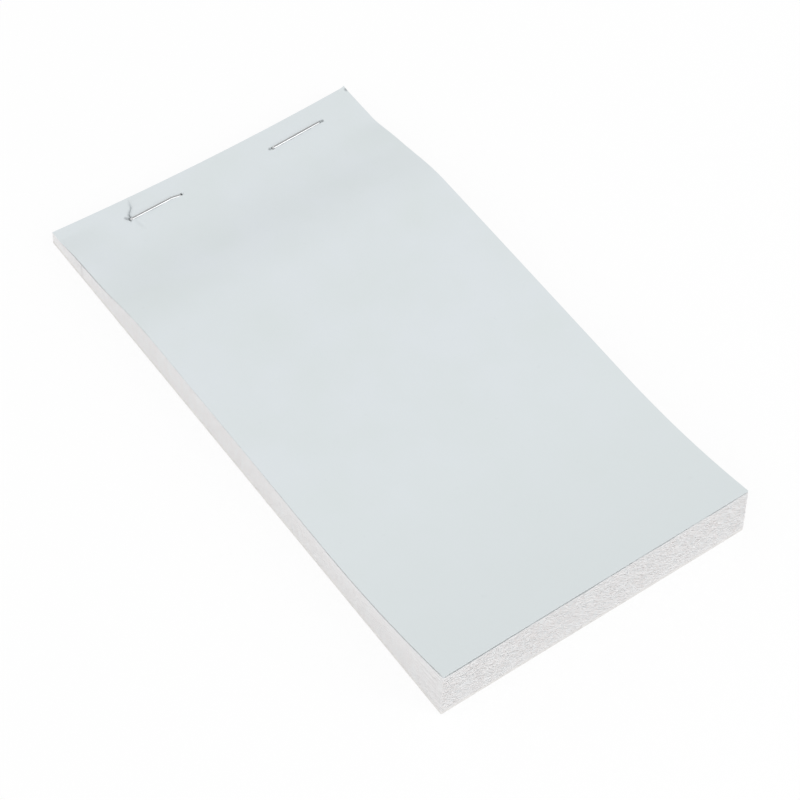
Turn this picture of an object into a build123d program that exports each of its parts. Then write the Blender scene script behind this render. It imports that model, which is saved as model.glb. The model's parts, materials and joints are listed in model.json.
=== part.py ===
"""A duplicate receipt book: pairs of thin leaves stapled at one short end, between a cover sheet and a back board.

X runs across the pad, +Y towards the stapled end and Z up. The origin is the middle of the pad's footprint, on
the surface that the pad lies on. The bound ends of the leaves are pressed flat by the staples. In front of the
fold the loose leaves swell up, lie level and then curl up at the free end, each by its share of the cover's lift.
"""
import os

from build123d import *

# Sheets, in millimetres
PAD_WIDTH = 76.0  # along X
PAD_LENGTH = 140.0  # along Y, from the free end to the stapled end
SET_COUNT = 25  # receipts, each a top copy with its duplicate under it
LEAF_THICKNESS = 0.05
LEAF_CLEARANCE = 0.002  # air between one pressed leaf and the next
COVER_THICKNESS = 0.2
BOARD_WEB = 0.28  # board left above the staple legs that are pressed into it
FOLD_SETBACK = 10.0  # from the stapled edge to the cover's fold and the leaves' perforation

# How the cover lies in front of its fold
SWELL_RISE = 4.7  # from the pinched binding up to the level middle
SWELL_LENGTH = 28.0  # from the fold to the level middle
CURL_RISE = 5.2  # from the level middle up to the free end
CURL_LENGTH = 40.0  # from the level middle to the free end

# Staples, bent from wire that is rolled flat
WIRE_WIDTH = 0.7  # along Y
WIRE_THICKNESS = 0.5
WIRE_EDGE = 0.12  # broken edge along each corner of the wire
WIRE_BEND_RADIUS = 0.6  # at the wire's centre line
STAPLE_CROWN = 13.3  # over the outsides of both legs
STAPLE_SETBACK = 5.8  # from the stapled edge to the wire's centre line
STAPLE_LEFT_INSET = 22.2  # from the pad's left side to the middle of the left staple
STAPLE_RIGHT_INSET = 17.0  # from the pad's right side to the middle of the right staple
CLINCH_GAP = 2.8  # between the tips of a staple's two legs, under the board
SLIT_CLEARANCE = 0.03  # between a leg and the slit that it has pierced
SEAT_CLEARANCE = 0.01  # between the wire and the cover above, or the board below

# Places that follow from the sizes
rear_edge = PAD_LENGTH / 2
free_edge = -PAD_LENGTH / 2
fold_line = rear_edge - FOLD_SETBACK
staple_line = rear_edge - STAPLE_SETBACK
staple_middles = {
    "staple_left": STAPLE_LEFT_INSET - PAD_WIDTH / 2,
    "staple_right": PAD_WIDTH / 2 - STAPLE_RIGHT_INSET,
}
leg_offset = (STAPLE_CROWN - WIRE_THICKNESS) / 2
slit_length = 2 * (WIRE_BEND_RADIUS + SLIT_CLEARANCE)
slit_width = WIRE_WIDTH + 2 * SLIT_CLEARANCE
groove_depth = WIRE_THICKNESS + 2 * SEAT_CLEARANCE
board_thickness = groove_depth + BOARD_WEB
leaf_count = 2 * SET_COUNT
leaf_pitch = LEAF_THICKNESS + LEAF_CLEARANCE
leaf_levels = [board_thickness + LEAF_CLEARANCE + leaf * leaf_pitch for leaf in range(leaf_count)]
cover_level = leaf_levels[-1] + leaf_pitch
binding_top = cover_level + COVER_THICKNESS


def keep(part, name):
    """Label a finished piece and write it to its own file."""
    part.label = name
    export_step(part, f"parts/{name}.step")


def pierce_slits():
    """Cut the slits of both staples' legs out of the sketch of a sheet."""
    legs = [middle + side * leg_offset for middle in staple_middles.values() for side in (-1, 1)]
    with Locations([(leg, staple_line) for leg in legs]):
        Rectangle(slit_length, slit_width, mode=Mode.SUBTRACT)


def bound_ends(levels, thickness):
    """The flat ends of one or more sheets, from the stapled edge to the fold, with their undersides at levels."""
    with BuildPart() as ends:
        with BuildSketch(*[Plane.XY.offset(level) for level in levels]):
            with Locations((0, (rear_edge + fold_line) / 2)):
                Rectangle(PAD_WIDTH, FOLD_SETBACK)
            pierce_slits()
        extrude(amount=thickness)
    return ends.part


def loose_sheet(level, thickness, share):
    """A sheet from its fold to its free end, with its underside at level where it meets the fold."""
    swell = share * SWELL_RISE
    curl = share * CURL_RISE
    tip = level + swell + curl
    middle_start = fold_line - SWELL_LENGTH
    middle_end = free_edge + CURL_LENGTH
    with BuildPart() as sheet:
        with BuildSketch(Plane.YZ):
            with BuildLine():
                for face in (level, level + thickness):
                    half_way = (fold_line + middle_start) / 2, face + swell / 2
                    foot = TangentArc((fold_line, face), half_way, tangent=(-1, 0))
                    shoulder = TangentArc(half_way, (middle_start, face + swell), tangent=foot % 1)
                    middle = Line(shoulder @ 1, (middle_end, face + swell))
                    TangentArc(middle @ 1, (free_edge, face + swell + curl), tangent=middle % 1)
                Line((fold_line, level), (fold_line, level + thickness))
                Line((free_edge, tip), (free_edge, tip + thickness))
            make_face()
        extrude(amount=PAD_WIDTH / 2, both=True)
    return sheet.part


def bent_staple(middle):
    """A staple whose crown lies on the cover and whose legs are clinched inwards, flush under the board."""
    crown = binding_top + SEAT_CLEARANCE + WIRE_THICKNESS / 2
    clinch = SEAT_CLEARANCE + WIRE_THICKNESS / 2
    bends = [
        (middle - CLINCH_GAP / 2, clinch),
        (middle - leg_offset, clinch),
        (middle - leg_offset, crown),
        (middle + leg_offset, crown),
        (middle + leg_offset, clinch),
        (middle + CLINCH_GAP / 2, clinch),
    ]
    with BuildPart() as staple:
        with BuildLine(Plane.XZ.offset(-staple_line)) as wire:
            FilletPolyline(*bends, radius=WIRE_BEND_RADIUS)
        with BuildSketch(Plane(origin=wire.line @ 0, x_dir=(0, 1, 0), z_dir=wire.line % 0)) as section:
            Rectangle(WIRE_WIDTH, WIRE_THICKNESS)
            chamfer(section.vertices(), length=WIRE_EDGE)
        sweep()
    return staple.part


os.makedirs("parts", exist_ok=True)

# Back board, with grooves in its underside where the clinched legs are pressed in
groove_end = leg_offset + WIRE_BEND_RADIUS + SLIT_CLEARANCE
groove_start = CLINCH_GAP / 2 - SLIT_CLEARANCE
groove_middle = (groove_start + groove_end) / 2
with BuildPart() as back_board:
    with BuildSketch():
        Rectangle(PAD_WIDTH, PAD_LENGTH)
        pierce_slits()
    extrude(amount=board_thickness)
    with BuildSketch():
        for staple_middle in staple_middles.values():
            for side in (-1, 1):
                with Locations((staple_middle + side * groove_middle, staple_line)):
                    Rectangle(groove_end - groove_start, slit_width)
    extrude(amount=groove_depth, mode=Mode.SUBTRACT)
keep(back_board.part, "back_board")

# Leaves, from the board up: each duplicate lies under its top copy, and the sets count from the cover down
keep(bound_ends(leaf_levels[0::2], LEAF_THICKNESS), "duplicate_stubs")
keep(bound_ends(leaf_levels[1::2], LEAF_THICKNESS), "top_copy_stubs")
for leaf, leaf_level in enumerate(leaf_levels):
    copy = "top_copy" if leaf % 2 else "duplicate"
    set_number = SET_COUNT - leaf // 2
    leaf_share = (leaf + 1) / (leaf_count + 1)
    keep(loose_sheet(leaf_level, LEAF_THICKNESS, leaf_share), f"{copy}_{set_number:02d}")

# Cover sheet, held by its margin and turned at the fold
keep(bound_ends([cover_level], COVER_THICKNESS), "cover_margin")
keep(loose_sheet(cover_level, COVER_THICKNESS, 1), "front_cover")

# Staples
for staple_name, staple_middle in staple_middles.items():
    keep(bent_staple(staple_middle), staple_name)
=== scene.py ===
"""A duplicate receipt book: fifty thin leaves under a cover sheet, stapled through a back board at one end.

The book lies on the floor with its stapled end towards +Y. Lengths are in metres. Every loose sheet is one
rule: it leaves the fold level, swells up in an S, runs flat and curls up at the free end by its share of
the cover's lift.
"""
import json
import math

import bmesh
import bpy
import numpy as np
from bpy.props import FloatProperty, FloatVectorProperty, IntProperty, PointerProperty
from mathutils import Matrix, Vector

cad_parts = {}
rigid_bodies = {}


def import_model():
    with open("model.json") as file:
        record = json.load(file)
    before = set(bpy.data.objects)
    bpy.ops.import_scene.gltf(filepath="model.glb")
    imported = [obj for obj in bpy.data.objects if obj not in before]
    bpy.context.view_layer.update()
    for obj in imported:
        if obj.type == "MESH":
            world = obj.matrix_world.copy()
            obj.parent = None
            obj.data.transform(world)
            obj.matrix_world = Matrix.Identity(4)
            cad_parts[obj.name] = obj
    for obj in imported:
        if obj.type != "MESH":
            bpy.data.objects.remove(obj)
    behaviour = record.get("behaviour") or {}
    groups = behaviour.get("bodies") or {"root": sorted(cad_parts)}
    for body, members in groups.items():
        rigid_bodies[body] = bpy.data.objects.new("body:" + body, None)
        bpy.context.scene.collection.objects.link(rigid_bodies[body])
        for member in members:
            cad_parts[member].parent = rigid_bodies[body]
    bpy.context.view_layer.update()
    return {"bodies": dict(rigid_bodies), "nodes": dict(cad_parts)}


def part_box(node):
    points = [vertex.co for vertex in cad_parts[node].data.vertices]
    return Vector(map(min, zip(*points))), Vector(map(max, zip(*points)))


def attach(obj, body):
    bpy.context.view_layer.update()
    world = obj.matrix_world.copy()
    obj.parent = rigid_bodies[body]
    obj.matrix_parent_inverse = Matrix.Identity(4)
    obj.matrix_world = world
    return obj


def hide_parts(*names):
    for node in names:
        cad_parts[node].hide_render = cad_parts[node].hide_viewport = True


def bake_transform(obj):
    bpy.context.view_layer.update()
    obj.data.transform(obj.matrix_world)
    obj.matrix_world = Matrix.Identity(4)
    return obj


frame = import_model()

bl_info = {
    "name": "Duplicate Receipt Book",
    "version": (1, 0, 0),
    "blender": (4, 5, 0),
    "location": "3D View > Sidebar > Receipt Book",
    "description": "Lays the leaves and cover of a stapled receipt book and sets it on a pale table",
    "category": "Object",
}

MM = 0.001
IMAGE_WIDTH = 800  # pixels
SENSOR_WIDTH = 36.0  # millimetres of film across the image
WHITE = (1.0, 1.0, 1.0, 1.0)
SHARP_FROM = math.radians(50)  # edges that turn by more than this stay sharp

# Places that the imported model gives
board_low, board_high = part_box("back_board")
margin_low, margin_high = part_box("cover_margin")
cover_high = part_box("front_cover")[1]
pad_width = board_high.x - board_low.x
rear_edge = board_high.y
free_edge = board_low.y
fold_line = margin_low.y
sheet_length = fold_line - free_edge
cover_thickness = margin_high.z - margin_low.z
cover_lift = cover_high.z - margin_high.z
STAPLES = ("staple_left", "staple_right")
staple_low, staple_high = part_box("staple_left")
wire_line = (staple_low.y + staple_high.y) / 2
wire_width = staple_high.y - staple_low.y
leaf_names = [name for name in frame["bodies"] if name.startswith(("duplicate_", "top_copy_"))]
leaf_pitch = (margin_low.z - min(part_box(name)[0].z for name in leaf_names)) / len(leaf_names)

# Names that the meshes and the materials share
FLAT_PLACE = "flat_place"  # where a point of a sheet lies when the sheet is flat
PRINTED = "printed"  # 1 on the upper face of a sheet and 0 on its underside
PAINTED_SHADE = "painted_shade"  # how much painted shade the cover has in its dents, tears, pucker and corner spot, from 0 to 1
BENT = "bent"  # how steeply the wire runs, from 0 along the crown to 1 down a leg
BEND_RADIUS = "bend_radius"
LOOSE_SHEET = "Loose sheet"
PAPER_FIBRE = "Paper fibre"
RULED_FORM = "Ruled form"

# Where a flare starts and ends, from the stapled edge, and its skew: below 1, it is highest near its start
LEFT_FLARE = (2.5 * MM, 34.0 * MM, 0.6)
RIGHT_FLARE = (11.0 * MM, 28.5 * MM, 0.85)
LOW_CUT = 0.5  # share of the out-of-square cut that the lowest leaf and the board have

# Marks on the cover's margin, in millimetres across the book and in from the stapled edge
DENTS = (  # beside the legs, dented where they went in, with painted shade in each dent for the dark of the hole, and how grey each is
    (((-22.0, 5.5), (-22.3, 5.35)), 0.75),
    (((-22.3, 5.35), (-22.9, 4.75)), 0.4),
    (((-9.1, 5.8), (-9.0, 5.8)), 0.2),
    (((14.0, 5.7), (13.9, 5.7)), 0.6),
    (((28.1, 5.3), (28.2, 5.3)), 0.75),
)
TEARS = (  # from the first leg, with painted shade along the crease, and how grey each is
    (((-21.8, 4.5), (-20.4, 3.0), (-19.7, 0.6)), 0.42),
    (((-23.2, 4.8),), 0.40),
)
# The pucker's grey is painted shade in its hollow
PUCKER, PUCKER_GREY = ((-21.5, 6.5), (-21.0, 8.2), (-20.9, 9.8)), 0.10
# A spot of painted shade where the rear-right corner is lifted, and how grey it is
CORNER_SHADE_SPOT, CORNER_GREY = (37.9, 0.95), 0.6


def length(name, millimetres, description):
    """A setting that is a length."""
    return FloatProperty(name=name, description=description, default=millimetres * MM, unit="LENGTH")


def angle(name, degrees, description):
    """A setting that is an angle."""
    return FloatProperty(name=name, description=description, default=math.radians(degrees), unit="ROTATION")


def factor(name, default, description):
    """A setting that is a share of something."""
    return FloatProperty(name=name, description=description, default=default, subtype="FACTOR")


def number(name, default, description, subtype="UNSIGNED"):
    """A setting that is a strength or another plain number."""
    return FloatProperty(name=name, description=description, default=default, subtype=subtype)


def count(name, default, description):
    """A setting that is a whole number."""
    return IntProperty(name=name, description=description, default=default, subtype="UNSIGNED")


def tint(name, default, description):
    """A setting that is a colour."""
    return FloatVectorProperty(name=name, description=description, default=default, subtype="COLOR")


class SheetLie(bpy.types.PropertyGroup):
    """How the cover and the leaves lie in front of the fold."""

    swell_rise: length(
        "Swell rise", 4.7, "Height from the pinched binding up to the level middle of the cover"
    )
    swell_length: length("Swell length", 28.0, "Distance from the fold to the level middle")
    curl_length: length("Curl length", 40.0, "Distance from the level middle to the free end")
    gape: length("Gape", 0.65, "How far the top leaf sinks away from the cover at the free end")
    flare_rise: length("Flare rise", 1.6, "How far the cover's left side stands up beside the staples")
    flare_follow: factor("Flare follow", 0.66, "Share of the cover's flare that the top leaf follows")
    flare_width: length("Flare width", 7.0, "How far a flare reaches in from its side")
    right_flare: factor(
        "Right flare", 0.47, "Flare of the right side in front of the fold, as a share of the left side's"
    )
    out_of_square: length(
        "Out of square", 0.5, "How much shorter the sheets are cut at the right than at the left"
    )
    front_lean: length(
        "Front lean", 0.4, "How much further forward the lowest leaf and the board reach than the curved cover"
    )
    side_cut: length("Side cut", 0.3, "How much narrower the cover is cut at its free end, on the right")
    rear_bow: length(
        "Rear bow", 1.0, "How far the stapled edge of the sheets is drawn in between its corners"
    )
    crease_length: length(
        "Crease length", 7.0, "Distance in front of the fold over which a turned leaf bends"
    )
    cover_crease: length(
        "Cover crease", 9.0, "Distance in front of the fold over which the turned cover bends"
    )


class LeafCut(bpy.types.PropertyGroup):
    """The leaves' paper, perforation and worn free edges."""

    thickness: length("Thickness", 0.05, "Thickness of a pressed leaf")
    bulk: factor("Bulk", 0.80, "Share of the room between two loose leaves that crinkled paper takes up")
    columns: count(
        "Columns", 241, "Faces across a leaf; the first and every third after it is a tie of the perforation"
    )
    rows: count("Rows", 28, "Faces along a leaf, which crowd towards its two ends")
    slit_setback: length("Slit setback", 1.1, "Distance from the fold to the row of perforation slits")
    slit_width: length("Slit width", 0.22, "Width of a perforation slit")
    ripple_height: length("Ripple height", 0.32, "How far the free edges of the leaves wave up and down")
    ripple_length: length("Ripple length", 2.8, "Distance across the leaf from one ripple to the next")
    ripple_zone: length("Ripple zone", 9.0, "How far the ripples reach in from the free edge")
    ragged: length("Ragged edge", 0.5, "How far the free edge of a leaf stands in or out of line")
    seed: count("Seed", 7, "Seed of the ripples and of the ragged edges")


class StapleWire(bpy.types.PropertyGroup):
    """The staples and the marks that they leave in the cover."""

    thickness: length("Wire thickness", 0.5, "Thickness of the wire, across its flat sides")
    edge_radius: length("Edge radius", 0.24, "Radius of the wire's rounded edges")
    clinch_gap: length("Clinch gap", 2.8, "Distance between the tips of a staple's two legs")
    bend_radius: length("Bend radius", 0.6, "Radius of the wire's centre line at a bend")
    shoulder_radius: length(
        "Shoulder radius", 0.42, "Radius of the wire's centre line where the crown turns down into the cover"
    )
    sink: length("Sink", 0.2, "How deep the crown is pressed into the cover")
    hole_clearance: length(
        "Hole clearance", 0.04, "Room round a leg in the hole that it has pierced in the cover"
    )
    tear_width: length(
        "Tear width", 0.18, "Width of the tear beside the left staple, where it starts at the hole"
    )
    tear_lift: length("Tear lift", 0.32, "How far the tear's right-hand lip stands up")


class BookColours(bpy.types.PropertyGroup):
    """The colours of the book."""

    cover: tint("Cover", (0.716, 0.761, 0.784), "Pale blue-grey of the cover sheet")
    cover_cloud: tint(
        "Cover cloud", (0.697, 0.747, 0.755), "Greener tone of the cover's clouds and free end"
    )
    # Dark grey painted into the cover as shade in its dents, tears, pucker and corner spot; its own faint
    # flecks lean a little towards it too
    painted_shade: tint("Painted shade", (0.16, 0.18, 0.19), "Grey of the cover where it is creased and rubbed")
    top_copy: tint("Top copy", (0.785, 0.80, 0.81), "White of the top copies")
    duplicate: tint("Duplicate", (0.795, 0.78, 0.775), "Faint pink of the duplicates")
    ink: tint("Ink", (0.30, 0.36, 0.48), "Grey-blue of the ruled lines on the leaves")
    board: tint("Board", (0.70, 0.69, 0.675), "Pale grey of the uncoated back board")
    wire: tint("Wire", (0.80, 0.81, 0.82), "Grey of the galvanised staple wire")


class StudioView(bpy.types.PropertyGroup):
    """The camera, the floor and the light."""

    azimuth: angle("Azimuth", -39.29, "Turn of the camera round the book, from straight in front")
    elevation: angle("Elevation", 53.70, "Height of the camera above the horizon")
    roll: angle("Roll", 4.35, "Turn of the camera about its own line of sight")
    distance: length("Distance", 623.1, "Distance from the camera to the point it looks at")
    target: FloatVectorProperty(
        name="Target",
        description="Point on the floor that the camera looks at",
        default=(-0.57 * MM, -4.93 * MM, 0.0),
        subtype="TRANSLATION",
    )
    focal_pixels: number("Focal length", 3000.0, "Focal length in pixels of the square image", "PIXEL")
    floor: tint("Floor", (0.96, 0.96, 0.96), "White of the floor")
    world_strength: number("World strength", 1.02, "Strength of the light from all round")
    front_light: number(
        "Front light", 0.15, "How much stronger the light is to the left of the camera than opposite"
    )
    rear_shade: number("Rear shade", 0.54, "How much weaker the light is from above the stapled end")
    key_power: number("Key power", 0.72, "Power of the tall lamp in front of the book, in watts", "POWER")


class ReceiptBook(bpy.types.PropertyGroup):
    """Everything that can be changed on the book."""

    lie: PointerProperty(type=SheetLie)
    leaves: PointerProperty(type=LeafCut)
    staples: PointerProperty(type=StapleWire)
    colours: PointerProperty(type=BookColours)
    studio: PointerProperty(type=StudioView)


def book():
    """The settings that the operators read."""
    return bpy.context.scene.receipt_book


class Field:
    """A node's output that sums can be written with, in a geometry tree or a shader tree."""

    def __init__(self, tree, socket):
        self.tree = tree
        self.socket = socket

    def maths(self, operation, *terms):
        """This field put through a Math node, with the other terms after it."""
        node = self.tree.nodes.new("ShaderNodeMath")
        node.operation = operation
        for place, term in enumerate((self, *terms)):
            feed(node.inputs[place], term)
        return Field(self.tree, node.outputs[0])

    def __add__(self, other):
        return self.maths("ADD", other)

    def __sub__(self, other):
        return self.maths("SUBTRACT", other)

    def __mul__(self, other):
        return self.maths("MULTIPLY", other)

    def __truediv__(self, other):
        return self.maths("DIVIDE", other)

    def within(self, middle, reach):
        """1 where this field is no further than reach from middle, and 0 elsewhere."""
        return self.maths("COMPARE", middle, reach)

    def clamp(self):
        """This field kept between 0 and 1."""
        return self.maths("MAXIMUM", 0.0).maths("MINIMUM", 1.0)


def feed(socket, value):
    """Link a field to a socket, or set the socket to a plain value."""
    if isinstance(value, Field):
        value.tree.links.new(value.socket, socket)
    else:
        socket.default_value = value


def add_node(tree, kind, inputs=None, **settings):
    """A new node with its settings made and its inputs fed."""
    node = tree.nodes.new(kind)
    for setting, value in settings.items():
        setattr(node, setting, value)
    for label, value in (inputs or {}).items():
        feed(node.inputs[label], value)
    return node


def output(node, label=0):
    """One output of a node, as a field."""
    return Field(node.id_data, node.outputs[label])


def result(tree, kind, inputs=None, label=0, **settings):
    """One output of a new node, as a field."""
    return output(add_node(tree, kind, inputs, **settings), label)


def open_group(name, kind, inputs, outputs):
    """A new node group with named sockets of each kind: the group, its inputs by name and its output node."""
    tree = bpy.data.node_groups.new(name, kind)
    for direction, sockets in (("INPUT", inputs), ("OUTPUT", outputs)):
        for socket_kind, labels in sockets.items():
            for label in labels:
                tree.interface.new_socket(label, in_out=direction, socket_type=f"NodeSocket{socket_kind}")
    given = tree.nodes.new("NodeGroupInput")
    fields = {label: output(given, label) for labels in inputs.values() for label in labels}
    return tree, fields, tree.nodes.new("NodeGroupOutput")


def vector(tree, *parts):
    """A vector field from three numbers or fields."""
    return result(tree, "ShaderNodeCombineXYZ", dict(zip("XYZ", parts)))


def split(tree, place):
    """The three parts of a vector field."""
    node = add_node(tree, "ShaderNodeSeparateXYZ", {"Vector": place})
    return [output(node, axis) for axis in "XYZ"]


def times(tree, place, scale):
    """A vector field or a colour, times a number."""
    return result(tree, "ShaderNodeVectorMath", {0: place, "Scale": scale}, operation="SCALE")


def measured(tree, place, step):
    """A place measured in steps of a size."""
    return times(tree, place, result(tree, "ShaderNodeMath", {0: 1.0, 1: step}, operation="DIVIDE"))


def noise(tree, place, turn=0.0, detail=0.0):
    """Smooth noise from about -1 to 1 at a place that is measured in its own waves."""
    inputs = {"Vector": place, "W": turn, "Scale": 1.0, "Detail": detail}
    return result(tree, "ShaderNodeTexNoise", inputs, noise_dimensions="4D") * 2.0 - 1.0


def make_piece(name, mesh, material=None):
    """A new object of the book from a finished mesh."""
    mesh.name = name
    if material:
        mesh.materials.clear()
        mesh.materials.append(material)
    piece = bpy.data.objects.new(name, mesh)
    bpy.context.scene.collection.objects.link(piece)
    return piece


def grow(name, tree, sizes, seed_mesh=None):
    """The plain mesh that a geometry tree makes with these sizes, as a new piece."""
    piece = make_piece(name, seed_mesh or bpy.data.meshes.new(name))
    modifier = piece.modifiers.new(tree.name, "NODES")
    modifier.node_group = tree
    sockets = {item.name: item.identifier for item in tree.interface.items_tree if item.in_out == "INPUT"}
    for label, size in sizes.items():
        modifier[sockets[label]] = size
    evaluated = piece.evaluated_get(bpy.context.evaluated_depsgraph_get())
    mesh = bpy.data.meshes.new_from_object(evaluated)
    piece.modifiers.remove(modifier)
    piece.data = mesh
    mesh.name = name
    if not mesh.polygons:
        raise RuntimeError(f"{tree.name} made no faces for {name}")
    return piece


def store(tree, geometry, name, value, data_type="FLOAT"):
    """Geometry whose points carry a value under a name."""
    inputs = {"Geometry": geometry, "Name": name, "Value": value}
    return result(tree, "GeometryNodeStoreNamedAttribute", inputs, data_type=data_type, domain="POINT")


def finish_tree(tree, end, geometry, material):
    """Shade geometry smooth with its real edges sharp, realize it, give it its material and put it out."""
    smooth = result(tree, "GeometryNodeSetShadeSmooth", {"Geometry": geometry}, domain="FACE")
    turn = result(tree, "GeometryNodeInputMeshEdgeAngle", label="Unsigned Angle")
    inputs = {"Geometry": smooth, "Selection": turn.maths("GREATER_THAN", SHARP_FROM), "Shade Smooth": False}
    edged = result(tree, "GeometryNodeSetShadeSmooth", inputs, domain="EDGE")
    whole = result(tree, "GeometryNodeRealizeInstances", {"Geometry": edged})
    dressed = result(tree, "GeometryNodeSetMaterial", {"Geometry": whole, "Material": material})
    feed(end.inputs["Geometry"], dressed)


def loose_sheet_tree():
    """Geometry nodes for one closed thin sheet from its fold to its free end."""
    tree, size, end = open_group(
        LOOSE_SHEET,
        "GeometryNodeTree",
        {
            "Float": [
                *("Width", "Length", "Fold Line", "Fold Setback", "Level", "Thickness", "Edge Thickness"),
                *("Swell Rise", "Swell Length", "Curl Rise", "Curl Length", "Gape"),
                *("Flare Rise", "Flare Bulk", "Flare Width", "Right Flare"),
                *("Out Of Square", "Front Lean", "Side Cut", "Perforated", "Slit Setback", "Slit Width"),
                *("Ripple Height", "Ripple Length", "Ripple Zone", "Ragged Edge", "Seed"),
            ],
            "Int": ["Columns", "Rows"],
            "Material": ["Material"],
        },
        {"Geometry": ["Geometry"]},
    )
    crowding = 0.75  # how strongly the rows crowd towards the two ends
    slit_row = 2  # the slits lie between this row of points and the next
    faces_per_tie = 3.0
    gape_width, gape_length = 7.0 * MM, 24.0 * MM  # across and along the book, from one wide gap to the next
    gape_swing, gape_fall = 0.65, 0.45  # how much the gap varies, and how much narrower it is at the right
    gape_left = 0.95  # the gap at the left, without its swing
    gape_start = 1.5  # the gap opens from this many curl lengths before the free end
    swell_part = 0.25  # of the gap, at the end of the swell
    leaf_gap = 1.8 * MM  # height over which the ripples of neighbouring leaves stay alike
    fray_zone = 2.5 * MM
    clump_length, clump_height = 0.6 * MM, 0.45 * MM  # size of the tufts that leaves fray into together
    fray_length, fray_height = 0.5 * MM, 0.01 * MM
    clump_part = 0.75  # of the fray, the rest being each leaf's own
    side_cut_bend = 4.0  # how closely the side cut keeps to the free end
    same_point = 1e-6  # points of the flat grid that are closer than this are merged

    # A flat grid, one unit long and one unit thick, with the perforation slits cut through it
    inputs = {"Size X": size["Width"], "Size Y": 1.0}
    inputs |= {"Vertices X": size["Columns"] + 1, "Vertices Y": size["Rows"] + 1}
    grid = result(tree, "GeometryNodeMeshGrid", inputs)
    across, from_middle, face_side = split(tree, result(tree, "GeometryNodeInputPosition"))
    along = from_middle * -1.0 + 0.5
    row = along * size["Rows"]
    column = ((across / size["Width"] + 0.5) * size["Columns"]).maths("FLOOR")
    in_slit = row.within(slit_row + 0.5, 0.4) * column.maths("MODULO", faces_per_tie).maths("MINIMUM", 1.0)
    inputs = {"Geometry": grid, "Selection": in_slit * size["Perforated"]}
    slitted = result(tree, "GeometryNodeDeleteGeometry", inputs, domain="FACE")
    inputs = {"Mesh": slitted, "Offset": (0.0, 0.0, 1.0), "Offset Scale": 1.0, "Individual": False}
    upper = result(tree, "GeometryNodeExtrudeMesh", inputs)
    both = add_node(tree, "GeometryNodeJoinGeometry")
    feed(both.inputs[0], upper)
    feed(both.inputs[0], result(tree, "GeometryNodeFlipFaces", {"Mesh": slitted}))
    closed = result(tree, "GeometryNodeMergeByDistance", {"Geometry": output(both), "Distance": same_point})

    # How far along the sheet each point lies
    run = (along - (along * math.tau).maths("SINE") * (crowding / math.tau)) * size["Length"]
    slit_end = size["Slit Setback"] + size["Slit Width"]
    run = run + (size["Slit Setback"] - run) * row.within(slit_row, 0.5) * size["Perforated"]
    run = run + (slit_end - run) * row.within(slit_row + 1, 0.5) * size["Perforated"]

    # The lie of the sheet: an S up from the fold, a level middle and a curl at the free end
    swell = (run / size["Swell Length"]).clamp()
    foot, shoulder = swell.maths("MINIMUM", 0.5), (swell - 0.5).maths("MAXIMUM", 0.0)
    swell_lift = (foot * foot + shoulder - shoulder * shoulder) * 2.0 * size["Swell Rise"]
    curl = ((run - size["Length"] + size["Curl Length"]) / size["Curl Length"]).maths("MAXIMUM", 0.0)
    lift = swell_lift + curl * curl * size["Curl Rise"]
    rise = size["Swell Rise"] + size["Curl Rise"]
    thickness = size["Thickness"] + (size["Edge Thickness"] - size["Thickness"]) * lift / rise

    # The top leaves sink away from the cover, most at the front and to the left
    right_share = across / size["Width"] + 0.5
    gape_place = vector(tree, across / gape_width, (run - size["Length"]) / gape_length, 0.0)
    gape = noise(tree, gape_place, size["Seed"]) * gape_swing - right_share * gape_fall + gape_left
    opening = ((run - size["Length"]) / size["Curl Length"] + gape_start).clamp()
    sink = gape.clamp() * size["Gape"] * (swell * swell_part + opening * (1.0 - swell_part))

    # The left side flares up beside the staples, and the right side by less in front of the fold
    def flare_up(start, stop, skew, from_side):
        """How far a side stands up, as a share of its flare at the highest."""
        part = ((run + size["Fold Setback"] - start) / (stop - start)).clamp().maths("POWER", skew)
        bow = (part * math.pi).maths("SINE").maths("POWER", 2.0)
        away = (from_side * size["Width"] / size["Flare Width"]).maths("POWER", 2.0)
        return (away * -1.0).maths("EXPONENT") * bow

    right_flare = flare_up(*RIGHT_FLARE, right_share * -1.0 + 1.0) * size["Right Flare"]
    flare = flare_up(*LEFT_FLARE, right_share) + right_flare
    thickness = thickness + flare * size["Flare Bulk"]

    # Ripples that neighbouring leaves share, and a free edge that frays by itself
    from_edge = size["Length"] - run
    edge_height = size["Level"] + rise
    ripple_zone = (from_edge / size["Ripple Zone"] * -1.0 + 1.0).clamp()
    ripples_across, ripples_along = across / size["Ripple Length"], run / size["Ripple Zone"]
    ripple_place = vector(tree, ripples_across, ripples_along, edge_height / leaf_gap)
    ripple = noise(tree, ripple_place, size["Seed"], 1.0) * ripple_zone * size["Ripple Height"]
    clump_place = vector(tree, across / clump_length, edge_height / clump_height, 0.0)
    fray_place = vector(tree, across / fray_length, edge_height / fray_height, 0.0)
    clump = noise(tree, clump_place, size["Seed"], 1.0) * clump_part
    fray = clump + noise(tree, fray_place, size["Seed"], 1.0) * (1.0 - clump_part)
    fray = fray * (from_edge / fray_zone * -1.0 + 1.0).clamp()

    # Every point is marked with its place on the flat sheet, and laid
    run_share = run / size["Length"]
    cut_off = (right_share * size["Out Of Square"] - size["Front Lean"]) * run_share
    flat_place = vector(tree, across, run + size["Fold Setback"], size["Level"])
    marked = store(tree, closed, FLAT_PLACE, flat_place, "FLOAT_VECTOR")
    laid_place = vector(
        tree,
        across - right_share * size["Side Cut"] * run_share.maths("POWER", side_cut_bend),
        size["Fold Line"] - run + cut_off + fray * size["Ragged Edge"],
        size["Level"] + lift - sink + flare * size["Flare Rise"] + ripple + face_side * thickness,
    )
    inputs = {"Geometry": store(tree, marked, PRINTED, face_side), "Position": laid_place}
    finish_tree(tree, end, result(tree, "GeometryNodeSetPosition", inputs), size["Material"])
    return tree


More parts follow.
